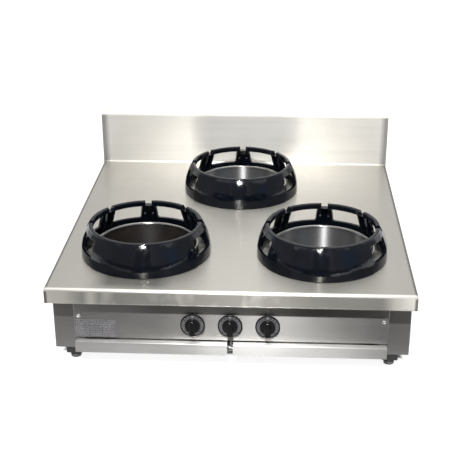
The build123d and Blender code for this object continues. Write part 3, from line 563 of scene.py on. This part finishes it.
# ---------------------------------------------------------------- stage
WHITE = (1.0, 1.0, 1.0)
PALE_BLUE = (0.35, 0.48, 0.70)
WORLD_LEVEL = 0.45
FLOOR_SIZE, FLOOR_GREY, FLOOR_GLOW = 60.0, rgb(0.45, 0.45, 0.45), 0.87
# The painted shadow on the floor under the body: axis, middle and half width, in metres. Then the
# width of its border, and the share of the floor's glow that it keeps.
PAINTED_FLOOR_SHADOW = (("X", 0.0, 0.44), ("Y", 0.05, 0.415))
PAINTED_SHADOW_BORDER, PAINTED_SHADOW_SHARE = 0.008, 0.05
BODY_MIDDLE = (0.0, 0.0, 0.2)
KEY_PLACE, KEY_SIZE, KEY_RADIANCE = (-0.16, -4.6, 4.6), 0.25, 1555.0


def glowing(name, level, colour=WHITE):
    """Nodes of a material that only gives off light."""
    n = MaterialNodes(name, "ShaderNodeEmission")
    n.set(Color=(*colour, 1.0), Strength=level)
    return n


def lit_floor():
    """A pale floor that shows white to the camera and to metal, and keeps the shadow.

    Under the body the glow is cut down to a painted shadow."""
    n = glowing("floor", 1.0)
    place = n.split(n.surface_point("Position"))
    open_floor = 0.0
    for axis, middle, half in PAINTED_FLOOR_SHADOW:
        distance = n.math("ABSOLUTE", n.math("SUBTRACT", place[axis], middle))
        outside = n.remap(distance, half - PAINTED_SHADOW_BORDER, half, PAINTED_SHADOW_SHARE, 1.0)
        open_floor = n.most(open_floor, outside)
    n.set(Strength=n.times(n.times(n.seen_or_reflected(), open_floor), FLOOR_GLOW))
    diffuse = n.add("ShaderNodeBsdfDiffuse")
    diffuse.inputs["Color"].default_value = FLOOR_GREY
    both = n.add("ShaderNodeAddShader")
    n.join(diffuse.outputs[0], both.inputs[0])
    n.join(n.shader.outputs[0], both.inputs[1])
    n.join(both.outputs[0], n.output.inputs["Surface"])
    return n.material


def turn_to(piece, target, front):
    """Turns a piece so that its front axis, such as "-Z", points at the target."""
    way = Vector(target) - piece.location
    piece.rotation_euler = way.to_track_quat(front, "Y").to_euler()


def plane(name, centre, size_x, size_y, material, facing=None):
    """A flat piece of the stage, level or facing a point."""
    mesh = bpy.data.meshes.new(name)
    x, y = size_x / 2, size_y / 2
    mesh.from_pydata([(-x, -y, 0), (x, -y, 0), (x, y, 0), (-x, y, 0)], [], [(0, 1, 2, 3)])
    mesh.materials.append(material)
    piece = bpy.data.objects.new(name, mesh)
    scene.collection.objects.link(piece)
    piece.location = centre
    if facing is not None:
        turn_to(piece, facing, "Z")
    return piece


def card(name, centre, size_x, size_y, levels, facing=None, colour=WHITE):
    """A studio card that only reflections show; levels are (place along x, brightness)."""
    start, end = levels[0][0], levels[-1][0]
    peak = max(level for place, level in levels)
    n = glowing(name, peak, colour)
    ramp = n.add("ShaderNodeValToRGB")
    along = n.split(n.surface_point("Position"))["X"]
    n.join(n.ramp(along, start, end), ramp.inputs["Fac"])
    stops = ramp.color_ramp.elements
    for place, level in levels[1:-1]:
        stops.new((place - start) / (end - start))
    for stop, (place, level) in zip(stops, levels):
        stop.color = [part * level / peak for part in colour] + [1.0]
    n.set(Color=ramp.outputs["Color"])
    piece = plane(name, centre, size_x, size_y, n.material, facing)
    piece.visible_camera = False
    piece.visible_diffuse = False
    piece.visible_shadow = False
    piece.visible_transmission = False


def make_world(level):
    """White to the camera and in reflections, a plain soft light otherwise."""
    world = bpy.data.worlds.new("studio")
    scene.world = world
    world.use_nodes = True
    n = Nodes(world.node_tree)
    background = n.tree.nodes["Background"]
    n.put(background.inputs["Color"], rgb(1.0, 1.0, 1.0))
    n.put(background.inputs["Strength"], n.remap(n.seen_or_reflected(), 0.0, 1.0, level, 1.0))


def softbox(name, place, target, size, radiance):
    """A square lamp that faces a point."""
    data = bpy.data.lights.new(name, "AREA")
    data.shape = "RECTANGLE"
    data.size = data.size_y = size
    data.energy = radiance * math.pi * size * size
    lamp = bpy.data.objects.new(name, data)
    scene.collection.objects.link(lamp)
    lamp.location = place
    turn_to(lamp, target, "-Z")


plane("floor", (0, 0, 0), FLOOR_SIZE, FLOOR_SIZE, lit_floor())
make_world(WORLD_LEVEL)
softbox("key", KEY_PLACE, BODY_MIDDLE, KEY_SIZE, KEY_RADIANCE)
card("room_card", (0.0, -6.0, 3.5), 16.0, 7.0,
     [(-8.0, 0.25), (-2.0, 0.25), (-1.8, 0.4), (-1.6, 0.18), (-0.4, 0.16), (0.0, 0.24),
      (0.3, 0.18), (1.2, 0.12), (1.5, 0.45), (2.2, 0.3), (8.0, 0.2)], facing=(0.0, 0.0, 3.5))
card("blue_card", (3.8, -3.4, 1.6), 2.2, 3.0, [(2.0, 0.6), (6.0, 0.6)],
     facing=(0.0, 0.0, 0.3), colour=PALE_BLUE)
card("far_floor_card", (0.0, -3.75, 0.003), 16.0, 4.5, [(-8.0, 0.08), (8.0, 0.08)])
card("mid_floor_card", (0.0, -1.1, 0.003), 6.0, 0.8,
     [(-3.0, 0.4), (-0.56, 0.5), (-0.46, 0.05), (-0.38, 0.0), (-0.3, 0.03), (-0.06, 0.24),
      (0.22, 0.07), (0.33, 0.18), (0.46, 0.10), (0.48, 1.6), (3.0, 0.6)])
card("near_floor_card", (0.0, -0.585, 0.002), 2.4, 0.23,
     [(-1.2, 0.50), (-0.42, 0.56), (-0.28, 0.56), (-0.2, 0.24), (0.1, 0.46), (0.17, 0.10),
      (0.22, 0.0), (0.5, 0.0), (1.2, 0.05)])
for name, x in (("side_card_left", -8.0), ("side_card_right", 8.0)):
    card(name, (x, -1.5, 3.5), 9.0, 7.0, [(-9.0, 0.28), (9.0, 0.28)], facing=(0.0, -1.5, 3.5))
card("back_card", (0.0, 6.0, 2.5), 16.0, 5.0,
     [(-8.0, 0.60), (-1.6, 0.60), (-0.6, 0.80), (0.5, 0.80), (1.2, 0.60), (8.0, 0.60)],
     facing=(0.0, 0.0, 2.5))


# ---------------------------------------------------------------- camera
# As fitted to the photo: turns in degrees, focal length and picture width in pixels.
PITCH, YAW, ROLL = math.radians(23.7386), math.radians(3.1018), math.radians(-0.2094)
FOCAL_PIXELS, PICTURE_PIXELS = 1016.99, 458.0
CAMERA_PLACE = (0.1172, -2.63385, 1.35378)
SENSOR_WIDTH = 36.0

forward = Vector((-math.sin(YAW) * math.cos(PITCH), math.cos(YAW) * math.cos(PITCH),
                  -math.sin(PITCH)))
level_right = Vector((math.cos(YAW), math.sin(YAW), 0.0))
level_up = level_right.cross(forward)
right = math.cos(ROLL) * level_right + math.sin(ROLL) * level_up
upward = -math.sin(ROLL) * level_right + math.cos(ROLL) * level_up
camera_data = bpy.data.cameras.new("camera")
camera_data.sensor_width = SENSOR_WIDTH
camera_data.lens = FOCAL_PIXELS / PICTURE_PIXELS * SENSOR_WIDTH
camera = bpy.data.objects.new("camera", camera_data)
scene.collection.objects.link(camera)
turn = Matrix((right, upward, -forward)).transposed().to_4x4()
camera.matrix_world = Matrix.Translation(CAMERA_PLACE) @ turn
scene.camera = camera
